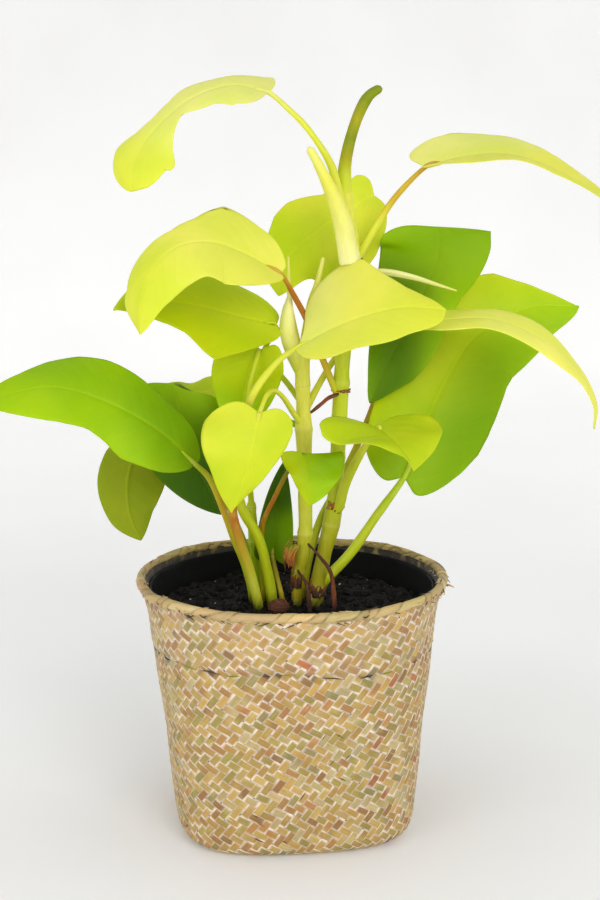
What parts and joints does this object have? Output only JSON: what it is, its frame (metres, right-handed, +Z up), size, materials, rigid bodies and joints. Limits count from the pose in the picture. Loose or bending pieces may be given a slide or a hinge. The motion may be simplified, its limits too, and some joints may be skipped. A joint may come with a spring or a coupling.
{
  "type": "potted philodendron in woven basket",
  "caption": "Yellow-green heart-leaved philodendron, rooted in a black nursery pot that stands inside a twill-woven straw basket with a wound rim.",
  "frame": {"origin": "middle of the basket's flat foot, on the surface it stands on", "axes": "+Z up, +Y away from the picture's camera, +X to the camera's right"},
  "size_m": [0.3668, 0.1896, 0.4514],
  "materials": {
    "straw_weave": "matt dried grass strips in a diagonal twill, tan, olive and orange-brown with a pale wash",
    "straw_rim": "matt dried grass strip wound round the rolled edge, with dark joints and frayed ends",
    "black_plastic": "thin black plant-pot plastic, slightly glossy",
    "potting_soil": "dark moist potting soil, matt and crumbly, with a few white specks",
    "bark": "reddish brown bark, rough",
    "stem_green": "living stem, satin, green with brown node rings",
    "stem_lime": "living stem, satin, yellow-green",
    "leaf_pale": "living leaf, thin and translucent, pale yellow, satin",
    "leaf_lime": "living leaf, thin and translucent, lime yellow, satin",
    "leaf_yellow_green": "living leaf, translucent, yellow-green, satin",
    "leaf_green": "living leaf, mid green, satin",
    "leaf_dark": "older leaf, dark green, satin",
    "sheath_pale": "papery sheath or rolled young leaf, pale yellow-green",
    "root_brown": "dry brown root or dead sheath, matt"
  },
  "bodies": {
    "root": {"basket_body": "straw_weave", "basket_rim": "straw_rim", "nursery_pot": "black_plastic", "soil": "potting_soil", "bark_piece": "bark", "stem_tall": "stem_green", "stem_left": "stem_lime", "stem_old": "stem_lime", "leaf_top_left": "leaf_pale", "leaf_top_right": "leaf_pale", "leaf_back_upper": "leaf_yellow_green", "leaf_back_dark": "leaf_dark", "leaf_middle": "leaf_lime", "leaf_right_long": "leaf_lime", "leaf_right_large": "leaf_green", "leaf_left_upper": "leaf_pale", "leaf_left_under": "leaf_yellow_green", "leaf_left_inner": "leaf_yellow_green", "leaf_back_left": "leaf_yellow_green", "leaf_front_heart": "leaf_lime", "leaf_left_large": "leaf_green", "leaf_left_dark": "leaf_dark", "leaf_low_left": "leaf_yellow_green", "leaf_front_small": "leaf_green", "leaf_front_right": "leaf_lime", "leaf_inner_upright": "leaf_dark", "new_leaf_top": "leaf_yellow_green", "sheath_top": "sheath_pale", "sheath_right": "sheath_pale", "sheath_middle": "sheath_pale", "young_spear_left": "sheath_pale", "young_spear_right": "sheath_pale", "dead_sheath": "root_brown", "aerial_root_upper": "root_brown", "aerial_root_long": "root_brown", "aerial_root_short": "root_brown"}
  },
  "joints": []
}
